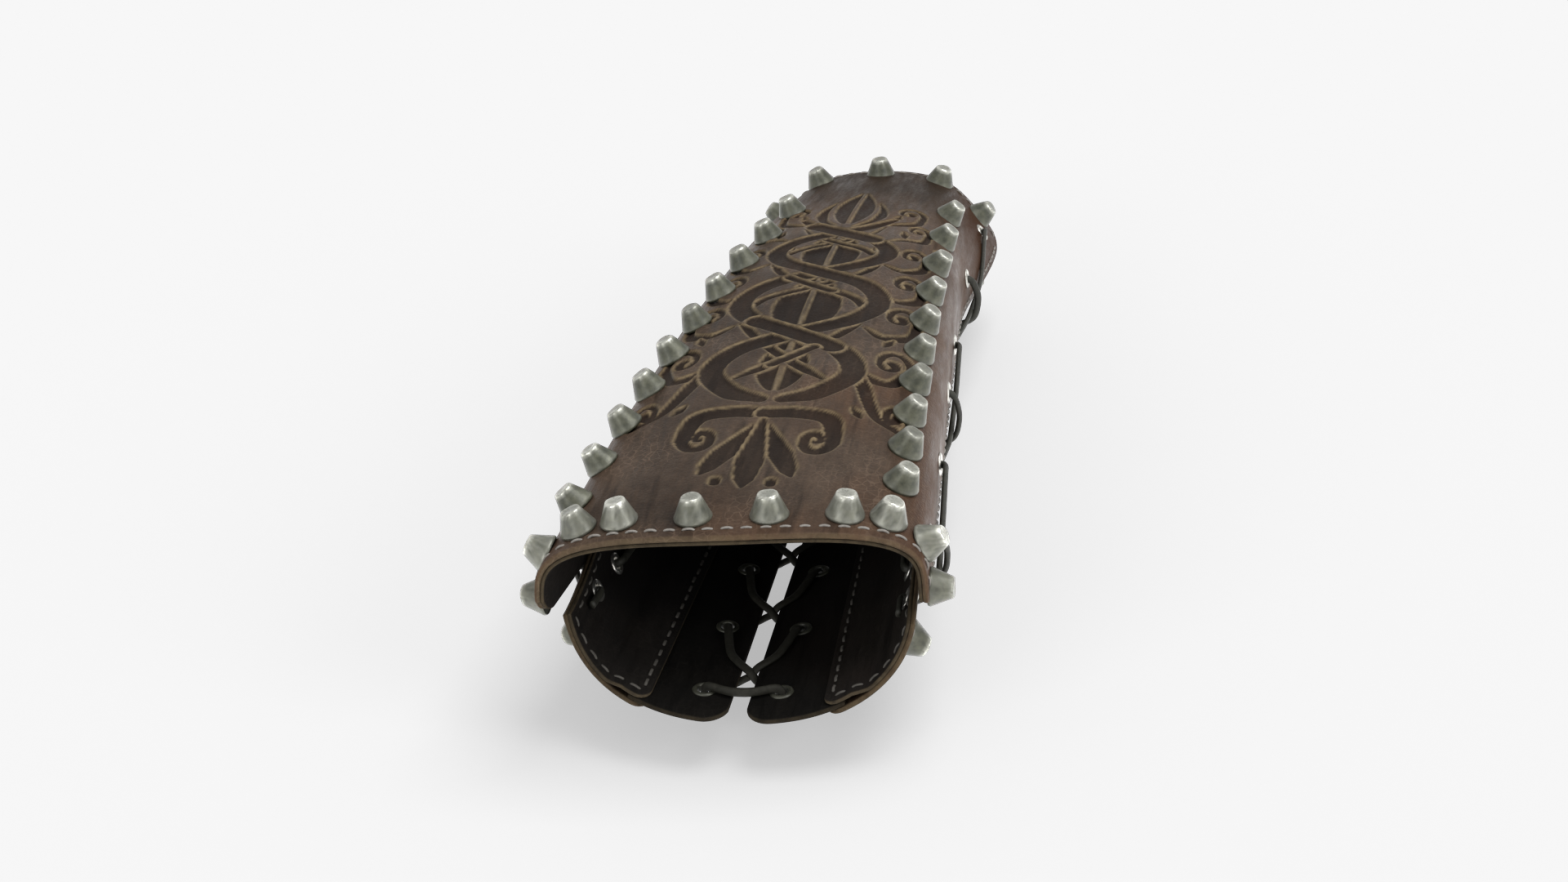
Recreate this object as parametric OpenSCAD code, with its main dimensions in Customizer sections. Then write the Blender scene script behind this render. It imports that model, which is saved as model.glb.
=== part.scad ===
// Laced forearm bracer: an arched, tooled leather plate with truncated-cone studs, two side
// panels laced to its lower edges, and two soft flaps laced together under the arm.
// X runs across the arm, Y from the elbow to the wrist, and Z up. Millimetres.

/* [Plate] */
// Length along the ridge, from the elbow edge to the wrist edge
plate_len = 295; // [265:1:315]
// Half width at the elbow end
elbow_half_w = 48.3; // [44:0.1:54]
// Half width in the middle
mid_half_w = 39.6; // [37:0.1:45]
// Half width at the wrist end
wrist_half_w = 32.5; // [30:0.1:38]
// Height of the widest line at the elbow end
elbow_wide_z = 32.4; // [30:0.1:36]
// Height of the widest line in the middle
mid_wide_z = 34.4; // [32:0.1:38]
// Height of the widest line at the wrist end
wrist_wide_z = 19.6; // [18.5:0.1:23]
// Rise of the arch above the widest line at the elbow end
elbow_rise = 18.1; // [15:0.1:24]
// Rise of the arch in the middle
mid_rise = 22.9; // [19:0.1:28]
// Rise of the arch at the wrist end
wrist_rise = 20.4; // [16:0.1:24]
// Squareness of the arch at the elbow end: 2 is an ellipse, more is flatter on top
arch_power = 3.3; // [2.4:0.1:4]
// Squareness of the arch at the wrist end
wrist_power = 2.6; // [2.2:0.1:3.6]
// How far the plate's lower edges flare out at the wrist end
wrist_flare = 9; // [0:0.5:11]
// Squareness of the underside
belly_power = 2.4; // [2.1:0.1:3]
// Thickness of the tooled outer ply
ply_t = 1.6; // [1.2:0.1:2.4]
// Thickness of the lining
lining_t = 0.9; // [0.6:0.1:1.4]
// How far the underside reaches past the ridge at the elbow, per millimetre of height
elbow_lean = 0.164; // [0:0.002:0.25]
// How far the sides are set back from the ridge at the elbow edge
elbow_sweep = 8.5; // [0:0.1:11]
// How far the plate's own elbow edge is set back at the sides
plate_sweep = 3; // [0:0.1:6]
// How much further back the plate's elbow edge is on the right than on the left
plate_slant = 4.2; // [0:0.1:5]
// How far the sides are set back from the ridge at the wrist edge
wrist_sweep = 8; // [0:0.1:10]
// Radius of the plate's lower corners
plate_corner_r = 8; // [3:0.5:12]

/* [Side panels] */
// Height of the plate's lower edge at the elbow end
seam_elbow_z = 28.4; // [26.5:0.1:29.5]
// Height of the plate's lower edge at the wrist end
seam_wrist_z = 15.4; // [14.5:0.1:16.5]
// Width of the panel tucked behind the plate
tuck_w = 8; // [6:0.1:9]
// Opening between the plate and a panel at the elbow edge
elbow_open = 4; // [0:0.5:6]
// Running gap between the plate and a tucked panel
tuck_gap = 0.45; // [0.3:0.05:0.8]
// Thickness of a side panel
panel_t = 1.3; // [1:0.1:1.8]
// Distance of the panel's lower edge from the middle at the elbow end
panel_low_elbow = 23.5; // [21:0.1:27]
// Distance of the panel's lower edge from the middle at the wrist end
panel_low_wrist = 16.5; // [15.5:0.1:19]
// Set-back of the panels from the wrist edge
panel_setback = 5; // [2:0.5:10]

/* [Lacing flaps] */
// Thickness of a lacing flap
flap_t = 1.2; // [0.9:0.1:1.6]
// Gap between the two flaps
flap_gap = 4.6; // [4.2:0.1:7]
// Width of the flap sewn between panel and lining
flap_sewn_w = 6; // [4:0.1:8]
// Room for the thread between a sewn flap and the leather on each side of it
sewn_gap = 0.12; // [0.05:0.01:0.2]
// Radius of the flaps' outer corners
flap_corner_r = 7; // [3:0.5:9]

/* [Studs] */
// Diameter of a stud's base
stud_d = 9.6; // [7:0.1:11]
// Diameter of a stud's flat top
stud_top_d = 5.2; // [3.5:0.1:6.5]
// Height of a stud
stud_h = 5.9; // [4:0.1:8]
// Diameter of the shank pressed through the leather
shank_d = 2.2; // [1.5:0.1:3]
// Distance of the end rows from the plate's edge
row_inset = 8.5; // [7:0.1:11]
// Number of studs in each long row
long_row_n = 10; // [8:1:10]
// First stud of the left long row, from the elbow
left_row_start = 21; // [19:0.5:24]
// First stud of the right long row, from the elbow
right_row_start = 30.5; // [28.5:0.5:34]
// First spacing in the left long row
left_row_pitch = 18.5; // [17:0.1:20]
// First spacing in the right long row
right_row_pitch = 17; // [15:0.1:18.5]

/* [Eyelets and laces] */
// Bore of an eyelet
eyelet_bore = 3.6; // [3.2:0.1:4.2]
// Diameter of an eyelet's flange
eyelet_flange_d = 6.2; // [5.8:0.1:7]
// Thickness of an eyelet's rolled flange
flange_t = 0.5; // [0.4:0.05:0.7]
// Wall of an eyelet's barrel
barrel_wall = 0.4; // [0.3:0.05:0.5]
// Number of eyelet pairs in the closing lacing
flap_pairs = 10; // [7:1:10]
// Distance of the first pair from the elbow edge of the flaps
first_pair_y = 13; // [11:0.5:16]
// Distance of the last pair from the wrist edge of the flaps
last_pair_y = 10.5; // [9:0.5:16]
// Distance of the flap eyelets from the middle
flap_eyelet_x = 10.4; // [9.5:0.1:11.5]
// Diameter of the laces
lace_d = 1.6; // [1.2:0.1:1.8]
// Clearance of the laces to leather and metal
lace_gap = 0.35; // [0.3:0.05:0.5]
// Distance of the side eyelets above the plate's lower edge
plate_eyelet_rise = 12; // [11.5:0.1:14]
// Distance of the side panels' eyelets below the plate's edge
panel_eyelet_drop = 7.5; // [6:0.1:9]

/* [Hidden] */
$fn = 32;

// Layers, measured inward from the plate's outer face
lining_off = ply_t;
plate_back = ply_t + lining_t;
panel_off = plate_back + tuck_gap;
panel_back = panel_off + panel_t;
flap_front = panel_back + sewn_gap;
flap_back = flap_front + flap_t;
// Steps of the leather meshes along and around the arm
rows_y = 14;
cols_plate = 30;
cols_panel = 12;
cols_flap = 7;
lace_sides = 8;
tiny = 0.01;

// The floor touches the lace under the flaps
lace_r = lace_d / 2;
lace_out_off = flap_front - flange_t - lace_gap - lace_r;
lace_in_off = flap_back + flange_t + lace_gap + lace_r;
belly_z = -(lace_out_off - lace_r);

// A parabola through three values at 0, 0.5 and 1
function bow(a, m, b, q) = a + (4 * m - 3 * a - b) * q + (2 * a + 2 * b - 4 * m) * q * q;
function half_w(y) = bow(elbow_half_w, mid_half_w, wrist_half_w, y / plate_len);
function wide_z(y) = bow(elbow_wide_z, mid_wide_z, wrist_wide_z, y / plate_len);
function rise(y) = bow(elbow_rise, mid_rise, wrist_rise, y / plate_len);
function seam_z(y) = seam_elbow_z + (seam_wrist_z - seam_elbow_z) * y / plate_len;
function panel_low(y) = panel_low_elbow + (panel_low_wrist - panel_low_elbow) * y / plate_len;

// Section of the arm at y, by an angle from the ridge: 90 is the widest line, 180 the underside
function soft(x) = let (c = min(1, max(0, x))) c * c * (3 - 2 * c);
function flare(t, y) =
    let (a = abs(t)) 1 + wrist_flare / wrist_half_w * soft((y / plate_len - 0.66) / 0.29)
        * (a < 112 ? soft((a - 50) / 62) : 1 - soft((a - 112) / 60));
function power_r(t, m) = pow(pow(abs(sin(t)), m) + pow(abs(cos(t)), m), -1 / m);
function section(t, y) =
    let (up = cos(t) >= 0, q = y / plate_len,
         r = power_r(t, up ? arch_power + (wrist_power - arch_power) * q * q : belly_power),
         h = up ? rise(y) : wide_z(y) - belly_z)
    [half_w(y) * flare(t, y) * r * sin(t), wide_z(y) + h * r * cos(t)];
function section_slope(t, y) = (section(t + 0.1, y) - section(t - 0.1, y)) / 0.2;
// Point on the surface, moved inward by off, and the outward direction there
function outward(t, y) = let (s = section_slope(t, y)) [-s[1], 0, s[0]] / norm(s);
function at(t, y, off = 0) = let (p = section(t, y)) [p[0], y, p[1]] - off * outward(t, y);
// Angle reached from t by going d millimetres round the section
function walk(t, y, d, n = 6) = n == 0 ? t : walk(t + d / n / norm(section_slope(t, y)), y, d * (n - 1) / n, n - 1);
// Angles of the plate's edge, and of a given distance from the middle on the underside
function low_angle(zn) = 180 - atan2(pow(1 - pow(zn, belly_power), 1 / belly_power), zn);
function seam_angle(y) = low_angle((wide_z(y) - seam_z(y)) / (wide_z(y) - belly_z));
function x_angle(x, y) =
    let (xn = x / half_w(y)) 180 - atan2(xn, pow(1 - pow(xn, belly_power), 1 / belly_power));
// The elbow edge leans and sweeps back, the wrist edge is square
function elbow_y(t) =
    let (p = section(t, 0)) elbow_lean * (p[1] - elbow_wide_z - elbow_rise)
        + elbow_sweep * pow(p[0] / elbow_half_w, 2);
function plate_edge_y(t) =
    let (p = section(t, 0), s = p[0] / elbow_half_w) elbow_lean * (p[1] - elbow_wide_z - elbow_rise)
        + plate_sweep * s * s + plate_slant * s;
function wrist_y(t) = plate_len - wrist_sweep * pow(section(t, plate_len)[0] / wrist_half_w, 2);
mid_y = (plate_len + elbow_y(179)) / 2;

// Closed solid between two grids of points of the same size, such as the faces of a leather ply
module ply(outer, inner) {
    n = len(outer);
    m = len(outer[0]);
    pts = concat([for (r = outer) each r], [for (r = inner) each r]);
    o = function (i, j) i * m + j;
    b = function (i, j) n * m + i * m + j;
    faces = concat(
        [for (i = [0:n - 2], j = [0:m - 2]) each [[o(i, j), o(i, j + 1), o(i + 1, j + 1)],
            [o(i, j), o(i + 1, j + 1), o(i + 1, j)]]],
        [for (i = [0:n - 2], j = [0:m - 2]) each [[b(i, j), b(i + 1, j + 1), b(i, j + 1)],
            [b(i, j), b(i + 1, j), b(i + 1, j + 1)]]],
        [for (j = [0:m - 2]) each [[o(0, j), b(0, j), b(0, j + 1)], [o(0, j), b(0, j + 1), o(0, j + 1)],
            [o(n - 1, j), b(n - 1, j + 1), b(n - 1, j)], [o(n - 1, j), o(n - 1, j + 1), b(n - 1, j + 1)]]],
        [for (i = [0:n - 2]) each [[o(i, 0), b(i + 1, 0), b(i, 0)], [o(i, 0), o(i + 1, 0), b(i + 1, 0)],
            [o(i, m - 1), b(i, m - 1), b(i + 1, m - 1)], [o(i, m - 1), b(i + 1, m - 1), o(i + 1, m - 1)]]]);
    polyhedron(pts, faces);
}

// Round cord swept along a list of points
function unit(v) = v / norm(v);
function heading(p, i) = unit(p[min(i + 1, len(p) - 1)] - p[max(i - 1, 0)]);
function square_to(t, u) = unit(u - (u * t) * t);
function side_dirs(p) =
    [for (i = 0, u = square_to(heading(p, 0), [0.3, 0.5, 0.8]); i < len(p);
        i = i + 1, u = square_to(heading(p, min(i, len(p) - 1)), u)) u];
module cord(p, r) {
    k = lace_sides;
    dirs = side_dirs(p);
    n = len(p);
    rings = [for (i = [0:n - 1]) let (t = heading(p, i), u = square_to(t, dirs[i]), w = cross(t, u))
        for (a = [0:k - 1]) p[i] + r * (cos(360 * a / k) * u + sin(360 * a / k) * w)];
    faces = concat([[for (a = [0:k - 1]) a]], [[for (a = [k - 1:-1:0]) (n - 1) * k + a]],
        [for (i = [0:n - 2], a = [0:k - 1]) let (c = (a + 1) % k)
            each [[i * k + a, (i + 1) * k + a, (i + 1) * k + c], [i * k + a, (i + 1) * k + c, i * k + c]]]);
    polyhedron(rings, faces);
}
// Corners of a route rounded by cutting them at a fifth
function soften(p) = concat([p[0]],
    [for (i = [1:len(p) - 2]) each [p[i] * 0.8 + p[i - 1] * 0.2, p[i] * 0.8 + p[i + 1] * 0.2]],
    [p[len(p) - 1]]);

// Places a child that stands along Z onto the surface
module stand_on(t, y, off = 0) {
    d = outward(t, y);
    translate(at(t, y, off)) rotate([0, acos(d[2]), atan2(d[1], d[0])]) children();
}
module mirrored(left) {
    if (left) mirror([1, 0, 0]) children();
    else children();
}
module placed() { translate([0, -mid_y, 0]) children(); }

// Leather. A rounded corner of radius r is cut back by this at the distance s from the side
corner = function (s, r) s >= r ? 0 : r - sqrt(r * r - (r - s) * (r - s));
function grid(rows, cols, t_of, y_of, off_of) =
    [for (i = [0:rows]) [for (j = [0:cols]) let (v = j / cols, y = y_of(i / rows, v), t = t_of(v, y))
        at(t, y, off_of(v))]];
plate_t = function (v, y) (2 * v - 1) * seam_angle(y);
plate_arc = 68;
plate_y = function (u, v)
    let (k = corner((1 - abs(2 * v - 1)) * plate_arc, plate_corner_r),
         y0 = plate_edge_y((2 * v - 1) * seam_angle(0)) + k,
         y1 = wrist_y((2 * v - 1) * seam_angle(plate_len)) - k)
    y0 + (y1 - y0) * u;
module plate_ply(off, t) {
    ply(grid(rows_y, cols_plate, plate_t, plate_y, function (v) off),
        grid(rows_y, cols_plate, plate_t, plate_y, function (v) off + t));
}
module plate_holes() {
    for (left = [false, true]) mirrored(left)
        for (y = plate_eyelet_y) stand_on(plate_eyelet_t(y), y)
            cylinder(h = 8, d = barrel_d + 0.04, center = true);
}
module top_plate() {
    color([0.27, 0.2, 0.16]) placed() difference() {
        plate_ply(0, ply_t);
        plate_holes();
    }
}
module plate_lining() {
    color([0.12, 0.1, 0.09]) placed() difference() {
        plate_ply(lining_off, lining_t);
        plate_holes();
    }
}

// Side panel: from the tuck behind the plate down to its lower long edge
// The panel starts below the plate's edge at the elbow and is tucked behind it further on
function tuck_angle(y) = walk(seam_angle(y), y, elbow_open - (tuck_w + elbow_open) * soft(y / 55));
function low_edge_angle(y) = x_angle(panel_low(y), y);
panel_t_of = function (v, y) let (a = tuck_angle(y), b = low_edge_angle(y)) a + (b - a) * v;
panel_arc = 45;
panel_y_of = function (u, v)
    let (a = tuck_angle(0), b = low_edge_angle(0), y0 = elbow_y(a + (b - a) * v) + corner((1 - v) * panel_arc, 5),
         y1 = wrist_y(b + (a - b) * (1 - v)) - panel_setback - corner((1 - v) * panel_arc, 5))
    y0 + (y1 - y0) * u;
// The lining steps inward over the sewn edge of the flap
sewn_share = 1.6 * flap_sewn_w / panel_arc;
lining_step = function (v) panel_back + (flap_t + 2 * sewn_gap) * min(1, max(0, (v - 1 + sewn_share + 0.12) / 0.12));
module panel_holes() {
    for (y = panel_eyelet_y) stand_on(panel_eyelet_t(y), y)
        cylinder(h = 20, d = barrel_d + 0.04, center = true);
}
module side_panel() {
    difference() {
        ply(grid(rows_y, cols_panel, panel_t_of, panel_y_of, function (v) panel_off),
            grid(rows_y, cols_panel, panel_t_of, panel_y_of, function (v) panel_back));
        panel_holes();
    }
}
module side_lining() {
    difference() {
        ply(grid(rows_y, cols_panel, panel_t_of, panel_y_of, lining_step),
            grid(rows_y, cols_panel, panel_t_of, panel_y_of, function (v) lining_step(v) + lining_t));
        panel_holes();
    }
}
// Lacing flap, from the sewn edge to the gap
flap_t_of = function (v, y)
    let (a = walk(low_edge_angle(y), y, -flap_sewn_w), b = x_angle(flap_gap / 2, y)) a + (b - a) * v;
flap_w = panel_low_elbow + flap_sewn_w - flap_gap / 2;
flap_y_of = function (u, v)
    let (y0 = elbow_y(flap_t_of(v, 0)) + corner((1 - v) * flap_w, flap_corner_r),
         y1 = wrist_y(flap_t_of(v, plate_len)) - panel_setback - corner((1 - v) * flap_w, flap_corner_r))
    y0 + (y1 - y0) * u;
module lacing_flap() {
    difference() {
        ply(grid(rows_y, cols_flap, flap_t_of, flap_y_of, function (v) flap_front),
            grid(rows_y, cols_flap, flap_t_of, flap_y_of, function (v) flap_back));
        for (k = [0:flap_pairs - 1]) stand_on(x_angle(flap_eyelet_x, pair_y(k)), pair_y(k))
            cylinder(h = 20, d = barrel_d + 0.04, center = true);
    }
}

// Studs: a truncated cone with a bevelled flat top, and a shank pressed into the leather
stud_bite = 0.35;
shank_in = 1.2;
module stud() {
    bevel = 0.5;
    rotate_extrude() polygon([[0, -shank_in], [shank_d / 2, -shank_in], [shank_d / 2, -stud_bite],
        [stud_d / 2, -stud_bite], [stud_d / 2, 0.4], [stud_top_d / 2, stud_h - bevel],
        [stud_top_d / 2 - bevel, stud_h], [0, stud_h]]);
}
elbow_row_x = [0.196, 0.58, 0.797];
elbow_row_low = [9, -2];
module elbow_stud(t, left) { stand_on(t, plate_edge_y(left ? -t : t) + row_inset) stud(); }
module elbow_row_studs() {
    color([0.5, 0.52, 0.48]) placed() for (left = [false, true]) mirrored(left) {
        for (s = elbow_row_x) elbow_stud(arch_angle(s, 0), left);
        for (d = elbow_row_low) elbow_stud(walk(90, 0, -d), left);
    }
}
// Angle of a share of the half width, on the arch
function arch_angle(s, y) =
    let (q = y / plate_len, m = arch_power + (wrist_power - arch_power) * q * q)
    atan2(s, pow(1 - pow(s, m), 1 / m));
wrist_row_x = [0, 0.64, 0.98];
module wrist_row_studs() {
    color([0.5, 0.52, 0.48]) placed() for (s = wrist_row_x) for (left = s > 0 ? [false, true] : [false])
        mirrored(left) let (t = arch_angle(s, plate_len)) stand_on(t, wrist_y(t) - row_inset) stud();
}
// A long row follows a share of the half width, with a spacing that grows towards the wrist
function row_y(i, start, pitch, last) = start + pitch * i
    + (last - start - pitch * (long_row_n - 1)) * pow(i / (long_row_n - 1), 3);
module row_studs(start, pitch, last, share, turn) {
    for (i = [0:long_row_n - 1])
        let (y = row_y(i, start, pitch, last)) stand_on(arch_angle(share - turn * y / plate_len, y), y) stud();
}
module left_row_studs() {
    color([0.5, 0.52, 0.48]) placed() mirrored(true) row_studs(left_row_start, left_row_pitch, 0.776 * plate_len, 0.93, 0.4);
}
module right_row_studs() {
    color([0.5, 0.52, 0.48]) placed() row_studs(right_row_start, right_row_pitch, 0.803 * plate_len, 0.835, 0);
}
// Places of the side panels' studs, as the distance from the elbow and below the plate's edge
right_stud_at = [[11, 12.5], [0.51 * plate_len, 14], [plate_len - 21, 13]];
left_stud_at = concat([[9, 25]], right_stud_at);
module side_studs(places) {
    for (p = places) stand_on(walk(seam_angle(p[0]), p[0], p[1]), p[0], panel_off) stud();
}

// Eyelets: a barrel between two rolled flanges
barrel_d = eyelet_bore + 2 * barrel_wall;
module eyelet(t) {
    r = eyelet_bore / 2;
    f = eyelet_flange_d / 2;
    rotate_extrude() {
        translate([r, -t]) square([barrel_wall, t]);
        for (z = [0, -t - flange_t]) translate([r, z]) polygon([[0, 0], [f - r - 0.15, 0], [f - r, flange_t / 2],
            [f - r - 0.15, flange_t], [0.2, flange_t], [0, flange_t / 2]]);
    }
}
function pair_y(k) =
    let (a = elbow_y(175) + first_pair_y, b = wrist_y(175) - panel_setback - last_pair_y)
    a + (b - a) * k / (flap_pairs - 1);
// Side lacing in groups of four eyelets: near and far in the plate, near and across in the panel
lacing = [[24, 68, 22, 37], [116, 154, 92, 118], [215, 264, 190, 217]] / 295 * plate_len;
plate_eyelet_y = [for (g = lacing) each [g[0], g[1]]];
panel_eyelet_y = [for (g = lacing) each [g[2], g[3]]];
function plate_eyelet_t(y) = walk(seam_angle(y), y, -plate_eyelet_rise);
function panel_eyelet_t(y) = walk(seam_angle(y), y, panel_eyelet_drop);
module plate_eyelets() {
    for (y = plate_eyelet_y) stand_on(plate_eyelet_t(y), y) eyelet(plate_back);
}
module panel_eyelets() {
    for (y = panel_eyelet_y) stand_on(panel_eyelet_t(y), y, panel_off) eyelet(panel_t + lining_t);
}
module flap_eyelets() {
    for (k = [0:flap_pairs - 1]) stand_on(x_angle(flap_eyelet_x, pair_y(k)), pair_y(k), flap_front) eyelet(flap_t);
}

// Laces. Heights over a surface are depths measured inward from the plate's outer face
over_plate = -(flange_t + lace_gap + lace_r);
over_cross = over_plate - lace_d - lace_gap;
under_plate = plate_back + flange_t + lace_gap + lace_r;
over_panel = panel_off - flange_t - lace_gap - lace_r;
under_panel = panel_back + lining_t + flange_t + lace_gap + lace_r;
// One group, from the inside of the panel's near eyelet to the inside of the one across: a long
// strand along the plate's edge, and a short one over it
function group_route(g) =
    let (a = g[0], b = g[1], c = g[2], d = g[3], ta = plate_eyelet_t(a), tb = plate_eyelet_t(b),
         tc = panel_eyelet_t(c), td = panel_eyelet_t(d), m = (a + d) / 2, e = seam_angle(m),
         q = max(c + 6, m - 7), w = min(b - 8, m + 16))
    [at(panel_eyelet_t(c - 5), c - 5, under_panel), at(tc, c, under_panel), at(tc, c, over_panel),
     at(walk(seam_angle(q), q, 1), q, over_plate),
     at(e, m, over_plate), at(walk(seam_angle(w), w, -5), w, over_plate),
     at(tb, b - 5, over_plate), at(tb, b, over_plate), at(tb, b, under_plate),
     at(tb, b - 6, under_plate), at(ta, a + 6, under_plate), at(ta, a, under_plate), at(ta, a, over_plate),
     at(walk(e, m, -5), m, over_cross), at(walk(e, m, 2), m, over_cross), at(td, d, over_panel),
     at(td, d, under_panel), at(panel_eyelet_t(d + 5), d + 5, under_panel)];
function side_route() =
    let (first = lacing[0], last = lacing[2], inside = function (y) at(panel_eyelet_t(y), y, under_panel + 0.2))
    concat([inside(first[2] - 9)], group_route(first), [inside(first[3] + 14), inside(lacing[1][2] - 14)],
        group_route(lacing[1]), [inside(lacing[1][3] + 14), inside(last[2] - 14)],
        group_route(last), [inside(last[3] + 14)]);
module side_lace() { cord(soften(side_route()), lace_r); }

// One strand of the closing lacing from eyelet k to the opposite eyelet k + 1, s is 1 or -1 for
// the side that it starts from; the two that cross in the gap pass it at different places
function flap_at(x, y, off) = let (p = at(x_angle(max(abs(x), 0.2), y), y, off)) [sign(x) * p[0], p[1], p[2]];
function strand(k, s) =
    let (y0 = pair_y(k), y1 = pair_y(k + 1), x = flap_eyelet_x, m = (y0 * 0.66 + y1 * 0.34), j = 2.2 * s,
         mid = (lace_in_off + lace_out_off) / 2)
    [flap_at(s * x, y0, lace_in_off), flap_at(s * x, y0, lace_out_off), flap_at(s * 3.6, m - 5, lace_out_off),
     flap_at(s * 1.1, m - 2.6 + j / 2, lace_out_off), flap_at(s * 0.2, m + j, mid),
     flap_at(-s * 1.1, m + 2.6 + j / 2, lace_in_off), flap_at(-s * 3.6, m + 5, lace_in_off + 0.2)];
function strand_chain(s) = [for (k = [0:flap_pairs - 2]) let (t = k % 2 == 0 ? s : -s) each strand(k, t)];
function lace_end(s) =
    let (k = flap_pairs - 1, t = k % 2 == 0 ? s : -s, y = pair_y(k), x = flap_eyelet_x)
    [flap_at(t * x, y, lace_in_off), flap_at(t * x, y, lace_out_off), flap_at(t * 3.4, y + 0.8, lace_out_off),
     flap_at(t * 1.1, y + 2.5, lace_out_off), flap_at(t * 1.1, y + 4.8, lace_in_off),
     flap_at(t * 4.4, y + 6.6, lace_in_off + 0.3)];
function reversed(p) = [for (i = [len(p) - 1:-1:0]) p[i]];
bar_lift = lace_in_off + 0.2;
module closing_lace() {
    one = concat(strand_chain(1), lace_end(1));
    two = concat(strand_chain(-1), lace_end(-1));
    color([0.16, 0.16, 0.12]) placed() union() {
        cord(soften(concat(reversed(one), [flap_at(3, pair_y(0) - 3, bar_lift), flap_at(-3, pair_y(0) - 3, bar_lift)], two)),
            lace_r);
        for (s = [-1, 1]) let (e = lace_end(s)) translate(e[len(e) - 1]) sphere(r = lace_r * 1.7);
    }
}

module left_side_panel() { color([0.25, 0.18, 0.14]) placed() mirrored(true) side_panel(); }
module right_side_panel() { color([0.25, 0.18, 0.14]) placed() side_panel(); }
module left_side_lining() { color([0.12, 0.1, 0.09]) placed() mirrored(true) side_lining(); }
module right_side_lining() { color([0.12, 0.1, 0.09]) placed() side_lining(); }
module left_lacing_flap() { color([0.09, 0.08, 0.07]) placed() mirrored(true) lacing_flap(); }
module right_lacing_flap() { color([0.09, 0.08, 0.07]) placed() lacing_flap(); }
module left_side_studs() { color([0.5, 0.52, 0.48]) placed() mirrored(true) side_studs(left_stud_at); }
module right_side_studs() { color([0.5, 0.52, 0.48]) placed() side_studs(right_stud_at); }
module left_plate_eyelets() { color("silver") placed() mirrored(true) plate_eyelets(); }
module right_plate_eyelets() { color("silver") placed() plate_eyelets(); }
module left_panel_eyelets() { color("silver") placed() mirrored(true) panel_eyelets(); }
module right_panel_eyelets() { color("silver") placed() panel_eyelets(); }
module left_flap_eyelets() { color("silver") placed() mirrored(true) flap_eyelets(); }
module right_flap_eyelets() { color("silver") placed() flap_eyelets(); }
module left_side_lace() { color([0.16, 0.16, 0.12]) placed() mirrored(true) side_lace(); }
module right_side_lace() { color([0.16, 0.16, 0.12]) placed() side_lace(); }

top_plate();
plate_lining();
left_side_panel();
right_side_panel();
left_side_lining();
right_side_lining();
left_lacing_flap();
right_lacing_flap();
elbow_row_studs();
wrist_row_studs();
left_row_studs();
right_row_studs();
left_side_studs();
right_side_studs();
left_plate_eyelets();
right_plate_eyelets();
left_panel_eyelets();
right_panel_eyelets();
left_flap_eyelets();
right_flap_eyelets();
left_side_lace();
right_side_lace();
closing_lace();
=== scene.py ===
import math

import bpy
import numpy as np
from mathutils import Matrix, Vector


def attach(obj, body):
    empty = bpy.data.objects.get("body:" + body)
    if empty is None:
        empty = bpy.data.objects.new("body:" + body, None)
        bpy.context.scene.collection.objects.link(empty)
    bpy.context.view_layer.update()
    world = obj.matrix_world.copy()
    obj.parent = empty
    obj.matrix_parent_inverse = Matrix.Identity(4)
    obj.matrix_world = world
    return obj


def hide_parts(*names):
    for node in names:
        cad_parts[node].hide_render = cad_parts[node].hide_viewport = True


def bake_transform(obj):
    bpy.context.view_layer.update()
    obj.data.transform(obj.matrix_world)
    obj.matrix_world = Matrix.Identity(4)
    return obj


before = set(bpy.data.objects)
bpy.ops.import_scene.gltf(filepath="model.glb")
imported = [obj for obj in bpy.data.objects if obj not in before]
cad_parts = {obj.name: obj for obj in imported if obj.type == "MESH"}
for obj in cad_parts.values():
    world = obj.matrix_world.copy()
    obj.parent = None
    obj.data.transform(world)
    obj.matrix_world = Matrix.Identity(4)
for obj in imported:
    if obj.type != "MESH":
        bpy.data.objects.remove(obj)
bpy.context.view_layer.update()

# The same section as the CAD part, in millimetres, with t in degrees from the ridge and y along
# the arm from the elbow. Each row of three is at the elbow, in the middle and at the wrist.
PL = 295.
EH, MH, WH = 48.3, 39.6, 32.5  # half width
EZ, MZ, WZ = 32.4, 34.4, 19.6  # height of the widest line
ER, MR, WR = 18.1, 22.9, 20.4  # rise of the arch above it
SE, SW = 28.4, 15.4  # height of the seam at the elbow and at the wrist
AP, WP, BP = 3.3, 2.6, 2.4  # powers of the arch at the elbow, at the wrist, and of the belly
FL = 9.  # flare of the wrist
PLY, LIN, PT, FT = 1.6, .9, 1.3, 1.2  # thickness of plate, lining, panel and flap
TUCK, SEW = .45, .12  # room between plate lining and panel, and for thread
# Depths below the plate's outer face
BACK = PLY + LIN
POFF = BACK + TUCK
PBACK = POFF + PT
FFRONT = PBACK + SEW
FBACK = FFRONT + FT
LR, FLANGE, FREE = .8, .5, .35  # lace radius, eyelet flange, room between the two
LOUT = FFRONT - FLANGE - FREE - LR
LINN = FBACK + FLANGE + FREE + LR
BELLY = -(LOUT - LR)
HOLE, FLAP_HOLE = 2.0, 2.1  # radii
EYE_UP, EYE_DOWN = 12., 7.5  # eyelets of plate and panel from the seam
FLAP_EYE_X, HALF_GAP = 10.4, 2.3  # flap eyelets and the flaps' edges from the middle
WRIST_BACK = 5.  # how far panels and flaps end before the plate does
PLATE_ARC, HALF_ARC = 142., 68  # plate's width along the surface, and half of it along its ends
PANEL_ARC, FLAP_ARC = 45., 27.2  # the same width of panel and flap
PLATE_ROUND, PANEL_ROUND, FLAP_ROUND = 8., 5., 7.  # radii of their corners
CLEAR = .02  # keeps the faces of two plies apart
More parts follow.
